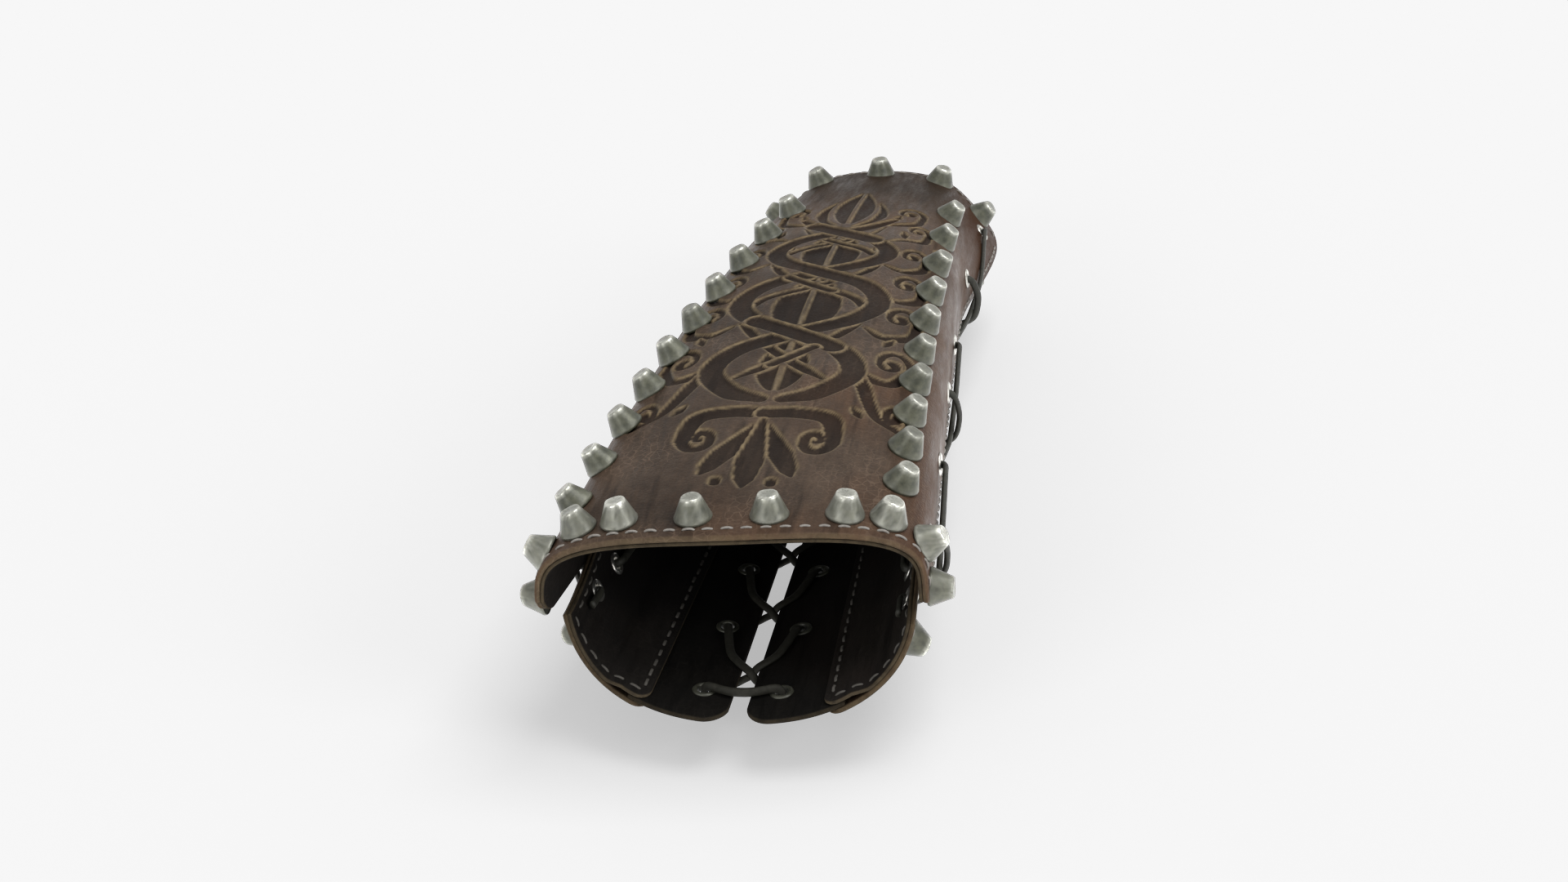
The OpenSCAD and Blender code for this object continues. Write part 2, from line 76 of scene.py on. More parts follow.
SIDES = ((-1, "left"), (1, "right"))
rng = np.random.default_rng(7)


def bow(a, m, b, q):
    """Parabola through a, m and b at q = 0, .5 and 1."""
    return a + (4 * m - 3 * a - b) * q + (2 * a + 2 * b - 4 * m) * q * q


def soft(x):
    """Smooth step from 0 to 1."""
    c = np.clip(x, 0, 1)
    return c * c * (3 - 2 * c)


def half_w(y): return bow(EH, MH, WH, y / PL)
def wide_z(y): return bow(EZ, MZ, WZ, y / PL)
def rise(y): return bow(ER, MR, WR, y / PL)
def seam_z(y): return SE + (SW - SE) * y / PL


def section(t, y):
    """x and z of the outer surface."""
    t, y = np.broadcast_arrays(np.asarray(t, float), np.asarray(y, float))
    a, r = np.abs(t), np.radians(t)
    s, c, q = np.sin(r), np.cos(r), y / PL
    up = c >= 0
    m = np.where(up, AP + (WP - AP) * q * q, BP)
    rad = (np.abs(s) ** m + np.abs(c) ** m) ** (-1 / m)
    sideways = np.where(a < 112, soft((a - 50) / 62), 1 - soft((a - 112) / 60))
    fl = 1 + FL / WH * soft((q - .66) / .29) * sideways
    h = np.where(up, rise(y), wide_z(y) - BELLY)
    return half_w(y) * fl * rad * s, wide_z(y) + h * rad * c


def slope(t, y):
    """x and z along the surface for each degree."""
    x1, z1 = section(t + .1, y)
    x0, z0 = section(t - .1, y)
    return (x1 - x0) / .2, (z1 - z0) / .2


def outward(t, y):
    """Unit normal, away from the arm."""
    dx, dz = slope(t, y)
    n = np.hypot(dx, dz)
    return np.stack([-dz / n, 0 * n, dx / n], -1)


def at(t, y, off=0.):
    """Point at depth off below the surface."""
    x, z = section(t, y)
    y = np.broadcast_to(y, x.shape)
    return np.stack([x, y, z], -1) - np.asarray(off)[..., None] * outward(t, y)


def walk(t, y, d, n=6):
    """Angle that lies d mm further along the section."""
    for i in range(n, 0, -1):
        t = t + d / i / np.hypot(*slope(t, y))
        d = d * (i - 1) / i
    return t


def low_angle(zn): return 180 - np.degrees(np.arctan2((1 - zn ** BP) ** (1 / BP), zn))
def seam_angle(y): return low_angle((wide_z(y) - seam_z(y)) / (wide_z(y) - BELLY))


def x_angle(x, y):
    """Angle of the belly at x."""
    xn = x / half_w(y)
    return 180 - np.degrees(np.arctan2(xn, (1 - xn ** BP) ** (1 / BP)))


def slanted_y(z): return .164 * (z - EZ - ER)


def elbow_y(t):
    """Elbow edge of panels and flaps."""
    x, z = section(t, 0.)
    return slanted_y(z) + 8.5 * (x / EH) ** 2


def plate_edge_y(t):
    """Elbow edge of the plate, a little longer on the left."""
    x, z = section(t, 0.)
    return slanted_y(z) + 3. * (x / EH) ** 2 + 4.2 * x / EH


def wrist_y(t): return PL - 8. * (section(t, PL)[0] / WH) ** 2


def arch_angle(s, y):
    """Angle of the arch at the share s of its half width."""
    m = AP + (WP - AP) * (y / PL) ** 2
    return np.degrees(np.arctan2(s, (1 - s ** m) ** (1 / m)))


def panel_low(y): return 23.5 + (16.5 - 23.5) * y / PL  # x of the panel's low edge


def tuck_angle(y):
    """Upper edge of the panel: 4 mm below the plate at the elbow, from y = 55 on 8 mm under it."""
    return walk(seam_angle(y), y, 4. - 12. * soft(y / 55))


def corner(s, r):
    """How far a corner of radius r is cut back at s mm from it."""
    return np.where(s >= r, 0, r - np.sqrt(np.maximum(r * r - (r - np.minimum(s, r)) ** 2, 0)))


MID = (PL + float(elbow_y(179.))) / 2


def m(p):
    """Millimetres of the section frame to metres of the row frame."""
    return (np.asarray(p, float) - [0, MID, 0]) * .001


# Meshes
def mesh(name, v, f, mat, body, nodes=(), attrs=None, rides=True):
    """Visual piece of body, in place of the CAD nodes; v is in metres, attrs is by vertex."""
    name = name.replace(" ", "_")
    me = bpy.data.meshes.new(name)
    v = np.asarray(v, float)
    me.from_pydata(v.tolist(), [], f if isinstance(f, list) else f.tolist())
    for k, a in (attrs or {}).items():
        me.attributes.new(k, "FLOAT", "POINT").data.foreach_set("value", np.asarray(a, np.float32))
    me.polygons.foreach_set("use_smooth", np.ones(len(me.polygons), bool))
    me.materials.append(mat)
    me.update()
    o = bpy.data.objects.new(name, me)
    bpy.context.scene.collection.objects.link(o)
    if rides:
        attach(o, body)
    if nodes:
        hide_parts(*nodes)
    return o


def ticks(length, step, fine=.25, edge=1.3):
    """Shares of a length, closer together near both ends."""
    a = np.arange(0, edge, fine)
    n = max(2, int(round((length - 2 * edge) / step)))
    b = np.linspace(edge, length - edge, n)
    return np.concatenate([a, b, (length - a)[::-1]]) / length


def shell(T, Y, off, thick, holes=(), relief=None, waves=0.):
    """Both faces of a ply whose grid has angles T and lengths Y, with rounded edges. Returns
    vertices in mm, faces and each vertex's distance to the edge."""
    P = at(T, Y, off)
    dv = np.linalg.norm(np.diff(P, axis=1), axis=2)
    cv = np.concatenate([np.zeros((len(P), 1)), np.cumsum(dv, 1)], 1)
    du = np.linalg.norm(np.diff(P, axis=0), axis=2)
    cu = np.concatenate([np.zeros((1, P.shape[1])), np.cumsum(du, 0)], 0)
    d = np.minimum(np.minimum(cv, cv[:, -1:] - cv), np.minimum(cu, cu[-1:] - cu))
    r = thick / 2
    e = np.where(d < r, r - np.sqrt(np.maximum(r * r - (r - np.minimum(d, r)) ** 2, 0)), 0)
    w = waves * (np.sin(Y / 11 + T / 17) + .6 * np.sin(Y / 5.3 - T / 9 + 1)) * soft(d / 4)
    h = 0 if relief is None else relief
    outer = at(T, Y, off + e - w - h)
    inner = at(T, Y, off + thick - e)
    n, k = T.shape
    idx = np.arange(n * k).reshape(n, k)
    quads = np.stack([idx[:-1, :-1], idx[:-1, 1:], idx[1:, 1:], idx[1:, :-1]], -1).reshape(-1, 4)
    c = outer.reshape(-1, 3)[quads].mean(1)
    keep = np.ones(len(quads), bool)
    for (hp, hr) in holes:
        keep &= np.linalg.norm(c - hp, axis=1) > hr
    quads = quads[keep]
    back = quads[:, ::-1] + n * k
    rim = np.concatenate([idx[0], idx[1:, -1], idx[-1, ::-1][1:], idx[::-1, 0][1:]])
    nxt = np.roll(rim, -1)
    side = np.stack([nxt, rim, rim + n * k, nxt + n * k], -1)[:-1]
    v = np.concatenate([outer.reshape(-1, 3), inner.reshape(-1, 3)])
    return v, np.concatenate([quads, back, side]), np.concatenate([d.ravel(), d.ravel()])


def grid_faces(idx):
    """Faces of a tube whose rings are the rows of idx."""
    nxt = np.roll(idx, -1, 1)
    return np.stack([idx[:-1], nxt[:-1], nxt[1:], idx[1:]], -1).reshape(-1, 4).tolist()


def tube(p, a, b, sides, flat_to=None):
    """A cord of half widths a and b along the points p. Its flat side faces flat_to, or else away
    from the arm."""
    p = np.asarray(p, float)
    g = np.gradient(p, axis=0)
    g /= np.linalg.norm(g, axis=1)[:, None] + 1e-12
    if flat_to is None:
        out = p - np.stack([0 * p[:, 0], p[:, 1], wide_z(p[:, 1])], -1)
    else:
        out = flat_to
    w = np.cross(g, out)
    ln = np.linalg.norm(w, axis=1)
    for i in range(1, len(w)):
        if ln[i] < .35 * np.linalg.norm(out[i]) or w[i] @ w[i - 1] < 0:
            w[i] = w[i - 1] - (w[i - 1] @ g[i]) * g[i]
            if np.linalg.norm(w[i]) < 1e-6:
                w[i] = w[i - 1]
        w[i] = w[i] / np.linalg.norm(w[i]) if i else w[i]
    w[0] = w[0] / np.linalg.norm(w[0])
    for _ in range(3):
        w[1:-1] = (w[:-2] + 2 * w[1:-1] + w[2:]) / 4
    w -= (w * g).sum(1)[:, None] * g
    w /= np.linalg.norm(w, axis=1)[:, None]
    u = np.cross(w, g)
    an = np.arange(sides) * 2 * np.pi / sides
    cos, sin = np.cos(an)[None, :, None], np.sin(an)[None, :, None]
    ring = p[:, None] + a * cos * w[:, None] + b * sin * u[:, None]
    idx = np.arange(len(p) * sides).reshape(len(p), sides)
    return ring.reshape(-1, 3), grid_faces(idx) + [idx[0, ::-1].tolist(), idx[-1].tolist()]


def join(parts):
    """One mesh of several (vertices, faces)."""
    v, f, n = [], [], 0
    for a, b in parts:
        v.append(a)
        f += [[i + n for i in q] for q in b]
        n += len(a)
    return np.concatenate(v), f


def lathe(prof, sides, wob=0.):
    """Turns a profile of (radius, height), a little out of round by the share wob."""
    prof = np.array(prof, float)
    an = np.arange(sides) * 2 * np.pi / sides
    k = 1 + wob * (np.sin(2 * an + rng.uniform(0, 6)) + .6 * np.sin(3 * an + rng.uniform(0, 6)))
    rad, high = prof[:, 0][:, None], np.repeat(prof[:, 1][:, None], sides, 1)
    v = np.stack([rad * np.cos(an) * k, rad * np.sin(an) * k, high], -1)
    idx = np.arange(len(prof) * sides).reshape(len(prof), sides)
    return v.reshape(-1, 3), grid_faces(idx)


def place(v, t, y, off, side):
    """Stands lathe points on the surface at t, y; side -1 mirrors them to the left."""
    p, n = at(t, y, off), outward(t, y)
    e = np.array([0, 1., 0])
    x = np.cross(e, n)
    x /= np.linalg.norm(x)
    e2 = np.cross(n, x)
    w = p + v[:, :1] * x + v[:, 1:2] * e2 + v[:, 2:] * n
    return w * [side, 1, 1]


def resample(p, step):
    """Points at even steps along a line."""
    p = np.asarray(p, float)
    s = np.concatenate([[0], np.cumsum(np.linalg.norm(np.diff(p, axis=0), axis=1))])
    n = max(2, int(s[-1] / step))
    q = np.linspace(0, s[-1], n)
    return np.stack([np.interp(q, s, p[:, i]) for i in range(3)], -1)


def soften(p, cuts=(.2, .25, .25)):
    """Cuts the corners of a line, once for each share in cuts."""
    p = np.asarray(p, float)
    for c in cuts:
        q = [p[0]]
        for i in range(1, len(p) - 1):
            q += [p[i] * (1 - c) + p[i - 1] * c, p[i] * (1 - c) + p[i + 1] * c]
        p = np.array(q + [p[-1]])
    return p


# Materials
def node_mat(name):
    mt = bpy.data.materials.new(name)
    mt.use_nodes = True
    nt = mt.node_tree
    nt.nodes.clear()
    out = nt.nodes.new("ShaderNodeOutputMaterial")
    bs = nt.nodes.new("ShaderNodeBsdfPrincipled")
    nt.links.new(bs.outputs[0], out.inputs[0])
    return mt, nt, bs


def coord(nt): return nt.nodes.new("ShaderNodeTexCoord").outputs["Object"]


def noise(nt, vec, scale, detail, rough=.6, stretch=None):
    """Noise in metres of the part, with its own scale for x, y and z if stretch is given."""
    if stretch:
        mp = nt.nodes.new("ShaderNodeMapping")
        mp.inputs["Scale"].default_value = stretch
        nt.links.new(vec, mp.inputs[0])
        vec = mp.outputs[0]
    n = nt.nodes.new("ShaderNodeTexNoise")
    n.inputs["Scale"].default_value = scale
    n.inputs["Detail"].default_value = detail
    n.inputs["Roughness"].default_value = rough
    nt.links.new(vec, n.inputs["Vector"])
    return n.outputs["Fac"]


def ramp(nt, fac, stops):
    """Colours by (position, colour)."""
    r = nt.nodes.new("ShaderNodeValToRGB")
    el = r.color_ramp.elements
    while len(el) < len(stops):
        el.new(.5)
    for e, (p, c) in zip(el, stops):
        e.position = p
        e.color = (*c, 1)
    nt.links.new(fac, r.inputs[0])
    return r.outputs[0]


def grey(v): return (v, v, v)


def mix(nt, fac, a, b, kind="MIX"):
    n = nt.nodes.new("ShaderNodeMix")
    n.data_type = "RGBA"
    n.blend_type = kind
    for s, val in ((0, fac), (6, a), (7, b)):
        if isinstance(val, (int, float)):
            n.inputs[s].default_value = val
        elif isinstance(val, tuple):
            n.inputs[s].default_value = (*val, 1)
        else:
            nt.links.new(val, n.inputs[s])
    return n.outputs[2]


def attr(nt, name):
    a = nt.nodes.new("ShaderNodeAttribute")
    a.attribute_name = name
    return a.outputs["Fac"]


def bump(nt, bs, heights):
    """A chain of bumps, each (height, strength, distance)."""
    prev = None
    for h, strength, dist in heights:
        b = nt.nodes.new("ShaderNodeBump")
        b.inputs["Strength"].default_value = strength
        b.inputs["Distance"].default_value = dist
        nt.links.new(h, b.inputs["Height"])
        if prev:
            nt.links.new(prev, b.inputs["Normal"])
        prev = b.outputs[0]
    nt.links.new(prev, bs.inputs["Normal"])


def leather(name, dark, mid, warm, rough=.5, spec=.06, tooled=False):
    """Mottled leather with cracks, hairs and streaks, pale where the attribute wear says so."""
    mt, nt, bs = node_mat(name)
    c = coord(nt)
    big = noise(nt, c, 22, 6, .7)
    col = ramp(nt, big, [(.36, dark), (.6, mid)])
    patch = ramp(nt, noise(nt, c, 17, 3), [(.5, grey(0)), (.72, grey(1))])
    col = mix(nt, patch, col, warm)
    crack = nt.nodes.new("ShaderNodeTexVoronoi")
    crack.feature = "DISTANCE_TO_EDGE"
    crack.inputs["Scale"].default_value = 420
    nt.links.new(c, crack.inputs["Vector"])
    worn = ramp(nt, noise(nt, c, 45, 4), [(.42, grey(.1)), (.62, grey(.75))])
    lines = ramp(nt, crack.outputs["Distance"], [(.0, grey(.8)), (.06, grey(0))])
    pale = mix(nt, 1., lines, worn, "MULTIPLY")
    col = mix(nt, pale, col, tuple(2.1 * q for q in mid))
    hair = ramp(nt, noise(nt, c, 210, 3, .5, (1, .12, 1)), [(.57, grey(0)), (.66, grey(.5))])
    col = mix(nt, hair, col, tuple(.45 * q for q in dark))
    streak = noise(nt, c, 60, 6, .7, (6, .8, 2))
    col = mix(nt, .55, col, ramp(nt, streak, [(.35, grey(.35)), (.65, grey(1))]), "MULTIPLY")
    fine = noise(nt, c, 900, 3, .6)
    col = mix(nt, .35, col, ramp(nt, fine, [(.3, grey(.55)), (.7, grey(1.15))]), "MULTIPLY")
    if tooled:
        # Painted shade: the colour darkens towards the wrist end, by a mesh attribute
        wrist_painted_shade = ramp(nt, attr(nt, "wrist_painted_shade"), [(0, grey(0)), (1, grey(.7))])
        col = mix(nt, wrist_painted_shade, col, (.017, .0115, .008))
        col = mix(nt, attr(nt, "warmth"), col, mix(nt, .5, col, (.06, .026, .014)))
        col = mix(nt, attr(nt, "tool"), col, mix(nt, .35, (.012, .01, .0095), col))
    wn = ramp(nt, noise(nt, c, 320, 4), [(.3, grey(.35)), (.6, grey(1))])
    wm = nt.nodes.new("ShaderNodeMath")
    wm.operation = "MULTIPLY"
    nt.links.new(attr(nt, "wear"), wm.inputs[0])
    nt.links.new(wn, wm.inputs[1])
    col = mix(nt, wm.outputs[0], col, (.2, .15, .085))
    nt.links.new(col, bs.inputs["Base Color"])
    matt = ramp(nt, streak, [(.3, grey(rough - .17)), (.7, grey(rough + .12))])
    nt.links.new(matt, bs.inputs["Roughness"])
    bs.inputs["Specular IOR Level"].default_value = spec
    if tooled:
        # Less sheen in the tooled recesses, and towards the wrist end where the shade is painted
        calm = mix(nt, attr(nt, "wrist_painted_shade"), attr(nt, "tool"), (1, 1, 1))
        shine = ramp(nt, calm, [(0, grey(spec)), (1, grey(.015))])
        nt.links.new(shine, bs.inputs["Specular IOR Level"])
    v = nt.nodes.new("ShaderNodeTexVoronoi")
    v.inputs["Scale"].default_value = 1300
    nt.links.new(c, v.inputs["Vector"])
    bump(nt, bs, [(streak, .45, .0008), (v.outputs["Distance"], .3, .0002), (fine, .35, .0002)])
    return mt


def metal(name, base, dark, rough, wear=True, metallic=.9):
    """Spotted metal, bright and smooth where the attribute wear says so."""
    mt, nt, bs = node_mat(name)
    c = coord(nt)
    n1 = noise(nt, c, 420, 5)
    n2 = noise(nt, c, 120, 3)
    col = ramp(nt, n1, [(.35, dark), (.65, base)])
    col = mix(nt, .5, col, ramp(nt, n2, [(.35, grey(.7)), (.65, grey(1.1))]), "MULTIPLY")
    if wear:
        w = attr(nt, "wear")
        col = mix(nt, w, col, (.6, .6, .54))
        r = ramp(nt, w, [(0, grey(rough)), (1, grey(.22))])
        nt.links.new(r, bs.inputs["Roughness"])
        me = ramp(nt, w, [(0, grey(.25)), (1, grey(.9))])
        nt.links.new(me, bs.inputs["Metallic"])
    else:
        bs.inputs["Roughness"].default_value = rough
        bs.inputs["Metallic"].default_value = metallic
    nt.links.new(col, bs.inputs["Base Color"])
    bump(nt, bs, [(n2, .35, .0005), (n1, .3, .0002)])
    return mt


def plain(name, base, dark, rough, scale, dist=.0003, spec=.3):
    """Two colours mixed by a noise that is its relief too."""
    mt, nt, bs = node_mat(name)
    c = coord(nt)
    n1 = noise(nt, c, scale, 5)
    nt.links.new(ramp(nt, n1, [(.3, dark), (.7, base)]), bs.inputs["Base Color"])
    bs.inputs["Roughness"].default_value = rough
    bs.inputs["Specular IOR Level"].default_value = spec
    bump(nt, bs, [(n1, .4, dist)])
    return mt


tooled = leather(
    "tooled leather", (.034, .023, .0165), (.076, .053, .038), (.07, .038, .022), tooled=True)
panel_mat = leather(
    "panel leather", (.026, .017, .0115), (.047, .032, .022), (.051, .028, .016), spec=.04)
lining_mat = leather(
    "lining leather", (.008, .007, .0065), (.014, .0115, .0095), (.017, .012, .0095), .75, .1)
flap_mat = leather(
    "flap leather", (.004, .0037, .0034), (.008, .007, .006), (.01, .0075, .006), .8, .06)
pewter = metal("aged pewter", (.079, .08, .053), (.03, .032, .02), .42)
olive = metal("dark olive eyelet", (.06, .06, .045), (.028, .028, .02), .45, False, .3)
steel = metal("eyelet steel", (.62, .61, .57), (.3, .29, .26), .3, False)
thread = plain("waxed thread", (.24, .225, .205), (.14, .128, .116), .7, 900)
# Painted shade: a darker copy of the waxed thread, for the stitches on the inner faces
inner_painted_shade_thread = plain("thread with painted shade", (.085, .079, .069), (.045, .041, .036), .75, 900)
lace_mat = plain("lace leather", (.03, .029, .022), (.011, .011, .008), .6, 700, .0004)
tie_mat = plain(
    "closing lace leather", (.024, .023, .018), (.011, .0105, .008), .65, 700, .0004, .15)


# Ornament: a chain of leaves wound by two ribbons, with spiral scrolls, worked out on a flat
# plane of s across the plate and y along it
def paint(R, S, Y, p, w, moat, taper=None):
    """Cuts a stroke of width w along the line p into the relief R, with a clear rim moat wide."""
    p = np.asarray(p, float)
    seg = np.linalg.norm(np.diff(p, axis=0), axis=1)
    c = np.concatenate([[0], np.cumsum(seg)])
    q = np.linspace(0, c[-1], max(3, int(c[-1] / .35)))
    p = np.stack([np.interp(q, c, p[:, 0]), np.interp(q, c, p[:, 1])], -1)
    half = np.full(len(p), w / 2)
    if taper is not None:
        half = np.interp(np.linspace(0, 1, len(p)), *taper) * w / 2
    pad = w / 2 + moat + .8
    lo, hi = p.min(0) - pad, p.max(0) + pad
    sel = np.nonzero((S > lo[0]) & (S < hi[0]) & (Y > lo[1]) & (Y < hi[1]))
    a = np.stack([S[sel], Y[sel]], -1)
    e = np.full(len(a), 1e3)  # distance to the stroke's outline, below 0 inside it
    for i in range(0, len(p), 8):
        dd = np.linalg.norm(a[:, None] - p[None, i:i + 8], axis=2) - half[None, i:i + 8]
        e = np.minimum(e, dd.min(1))
    R[sel] *= 1 - soft((moat - e) / .3)
    R[sel] = np.maximum(R[sel], soft(-e / .5))


LONG = 1.5  # length of a spiral over its width


def spiral(cx, cy, r0, turns, a0, hand):
    """A spiral LONG times longer than wide, because the plate is seen at a low angle."""
    k = np.linspace(0, 1, 60)
    r = r0 + (.5 - r0) * k ** .85
    a = a0 + hand * turns * 2 * np.pi * k
    return np.stack([cx + r * np.cos(a), cy + LONG * r * np.sin(a)], -1)


def curve(pts, step=.5):
    """A smooth line through given points."""
    p = np.asarray(pts, float)
    q = np.concatenate([[2 * p[0] - p[1]], p, [2 * p[-1] - p[-2]]])
    out = []
    for i in range(len(p) - 1):
        a, b, c, d = q[i:i + 4]
        u = np.linspace(0, 1, max(4, int(np.linalg.norm(c - b) / step)), endpoint=False)[:, None]
        out.append(.5 * (2 * b + (c - a) * u + (2 * a - 5 * b + 4 * c - d) * u ** 2
                         + (3 * b - a - 3 * c + d) * u ** 3))
    return np.concatenate(out + [p[-1:]])


def scroll(stem, eye, turns, hand):
    """A stem that runs into a spiral round eye."""
    stem, eye = np.asarray(stem, float), np.asarray(eye, float)
    r = (stem[-1] - eye) / [1, LONG]
    end = spiral(eye[0], eye[1], np.hypot(*r), turns, math.atan2(r[1], r[0]), hand)
    return np.concatenate([curve(stem), end[1:]])


def ornament(S, Y):
    """Chain of split leaves from a fan of petals to a bud, wound by two ribbons, with scrolls to
    both sides. 1 where it is cut in, else 0."""
    R = np.zeros(S.shape)
    slim = ([0, .2, .5, .85, 1], [.3, 1, .8, .55, .8])
    # points of the stem, middle of the spiral, turns and width
    scrolls = (
        ([(8, 205), (14, 205), (22, 211), (23.5, 222)], (18.6, 222), 1.15, 3.4),
        ([(15, 186), (20, 190), (26.5, 193), (27.6, 203)], (23.6, 203), 1.1, 3.4),
        ([(17, 164), (24, 160), (29.5, 166), (30, 176)], (25.2, 176), 1.15, 3.8),
        ([(20, 138), (26, 134), (31.4, 139), (32, 149)], (26.6, 149), 1.15, 4.2),
        ([(19, 112), (25, 107), (32.4, 111), (33.6, 122)], (28, 122), 1.15, 4.4),
        ([(14, 92), (20, 83), (30, 79), (35.4, 90)], (29.4, 91), 1.2, 4.6),
        ([(20, 88), (24, 74), (29, 60), (36.4, 54.5)], (34, 61.5), 1.15, 4.6))
    # middle and lean of the drops
    drops = ((15.5, 214, .2), (20, 196, -.2), (32, 189, .3), (27, 104, .5), (24, 60, -.7),
             (13.5, 178, .1))
    for hand in (-1, 1):
        for stem, eye, turns, w in scrolls:
            paint(R, S, Y, scroll(stem, eye, turns, 1) * [hand, 1], w, .55, slim)
        for x, y, ang in drops:
            u = np.linspace(-1, 1, 16)
            line = np.stack([hand * (x + 2.4 * u * math.sin(ang)), y + 3.6 * u * math.cos(ang)], -1)
            paint(R, S, Y, line, 3.2, .5, ([0, .5, 1], [.3, 1, .3]))
    # split leaves up the middle, the last one a bud between two sepals
    u = np.linspace(0, 1, 24)
    bulge = np.sin(math.pi * u ** .8)
    for y0, y1, w in ((70, 105, 13), (108, 152, 19), (156, 196, 17), (205, 251, 12)):
        for hand in (-1, 1):
            half = np.stack([hand * (.6 + w / 4 * bulge), y0 + (y1 - y0) * u], -1)
            paint(R, S, Y, half, w / 2, .5, (u, .05 + .95 * bulge))
    for hand in (-1, 1):
        sepal = curve([(2.6, 202), (8.6, 211), (9.8, 222), (7, 235)]) * [hand, 1]
        paint(R, S, Y, sepal, 4.2, .6, ([0, .45, 1], [.4, 1, .15]))
    # fan of three petals at the foot, with a volute on each side and two beads
    for hand in (-1, 1):
        q = scroll([(0, 58.5), (9, 58.5), (17.5, 55.5), (20, 45)], (15.2, 45), 1.25, -1)
        paint(R, S, Y, q * [hand, 1], 6.0, .7, ([0, .35, .6, 1], [1, 1, .68, .45]))
    for ang, long, w in ((-.4, 31, 7), (.4, 31, 7), (0, 34, 8)):
        q = np.stack([long * u * math.sin(ang), 55 - long * u * math.cos(ang)], -1)
        paint(R, S, Y, q, w, .7, ([0, .62, .85, 1], [.25, 1, .75, .1]))
    for hand in (-1, 1):
        paint(R, S, Y, [(hand * 7.2, 23.5), (hand * 7.2, 24.5)], 3.4, .5)
    # two ribbons that wind round the leaves, with a narrower pair between them
    broad = curve([(3, 66), (12, 70), (19.5, 82), (15, 95), (0, 107), (-15, 118), (-20.5, 131),
                   (-15, 144), (0, 155), (13, 165), (17.5, 176), (12, 187), (0, 196), (-9, 203),
                   (-15, 212)])
    narrow = curve([(-13, 77), (0, 90), (11, 104), (17, 118), (14, 132), (0, 143), (-12, 154),
                    (-15.5, 166), (-10, 177), (0, 185), (9, 193), (13, 202)])
    for q in (narrow, narrow * [-1, 1]):
        paint(R, S, Y, q, 3.6, .75, ([0, .05, .9, 1], [.4, 1, .8, .3]))
    for q in (broad, broad * [-1, 1]):
        paint(R, S, Y, q, 7.4, .8, ([0, .04, .5, .93, 1], [.6, 1, 1, .8, .35]))
    # the strand that lies on top where two of them cross
    for y0, r in ((107, 9), (196, 8)):
        paint(R, S, Y, broad[np.abs(broad[:, 1] - y0) < r], 7.2, .8)
    for y0, r in ((92, 6), (145, 6)):
        paint(R, S, Y, narrow[np.abs(narrow[:, 1] - y0) < r], 3.4, .75)
    return R


# Top plate
EYE_P = [24., 68., 116., 154., 215., 264.]  # eyelets of the plate
EYE_C = [22., 37., 92., 118., 190., 217.]  # eyelets of the side panel
PAIRS = 10  # eyelets of each flap
FIRST, LAST = float(elbow_y(175.)) + 13, float(wrist_y(175.)) - WRIST_BACK - 10.5


def eye_plate(y): return walk(seam_angle(y), y, -EYE_UP)
def eye_panel(y): return walk(seam_angle(y), y, EYE_DOWN)
def pair_y(k): return FIRST + (LAST - FIRST) * k / (PAIRS - 1)


plate_holes = [(at(eye_plate(y), y, 0.) * [s, 1, 1], HOLE) for y in EYE_P for s in (1, -1)]


def plate_grid(step):
    """Angles and lengths of the plate's points."""
    V, U = np.meshgrid(ticks(PLATE_ARC, step), ticks(PL, step))
    k = corner((1 - np.abs(2 * V - 1)) * HALF_ARC, PLATE_ROUND)
    y0 = plate_edge_y((2 * V - 1) * seam_angle(0.)) + k
    y1 = wrist_y((2 * V - 1) * seam_angle(PL)) - k
    Y = y0 + (y1 - y0) * U
    return (2 * V - 1) * seam_angle(Y), Y


def blurred(a):
    """Each point mixed with its four neighbours."""
    b = a.copy()
    b[1:-1, 1:-1] = (a[:-2, 1:-1] + a[2:, 1:-1] + a[1:-1, :-2] + a[1:-1, 2:]
                     + 2 * a[1:-1, 1:-1]) / 6
    return b


T, Y = plate_grid(.45)
step = np.linalg.norm(np.diff(at(T, Y), axis=1), axis=2)
arc = np.concatenate([np.zeros((len(T), 1)), np.cumsum(step, 1)], 1)
ridge = np.array([np.interp(0, T[i], arc[i]) for i in range(len(T))])
R = ornament(arc - ridge[:, None], Y)
blur = blurred(blurred(R))
wide = blurred(blur)
relief = -1.1 * blur + .15 * np.clip(wide * (1 - blur) * 3, 0, 1)
v, f, d = shell(T, Y, 0., PLY, plate_holes, relief, .07)
n = T.size
none = np.zeros(n)  # on the inner face
d = d[:n]
edge = np.clip(wide * (1 - R) * 3.0, 0, 1) ** 1.4  # worn rims of the tooling
warm = np.clip(soft((np.abs(T).ravel() - 35) / 35) * .9 + soft((8 - d) / 8) * .2, 0, 1)
wear = np.clip(np.maximum(edge.ravel() * .75, soft((1.1 - d) / 1.0) * .25), 0, 1)
# Painted shade: one attribute darkens the plate from 200 mm on towards the wrist end
mesh("top plate leather", m(v), f, tooled, "plate", ["top_plate"], {
    "tool": np.concatenate([np.clip(R.ravel() * 1.05, 0, 1), none]),
    "wear": np.concatenate([wear, soft((1.5 - d) / 1.2) * .3]),
    "warmth": np.concatenate([warm, none]),
    "wrist_painted_shade": np.concatenate([soft((Y.ravel() - 200) / 60), none])})
T, Y = plate_grid(1.6)
v, f, d = shell(T, Y, PLY + CLEAR, LIN - CLEAR, plate_holes)
mesh("plate lining leather", m(v), f, lining_mat, "plate", ["plate_lining"],
     {"wear": soft((.7 - d) / .6) * .3})


# Side panels, their linings and the flaps
SEAM = 6.  # width of the flap that is sewn in
SEWN, STEP = 1.6 * SEAM / PANEL_ARC, .12  # the lining steps over it at these shares of the width


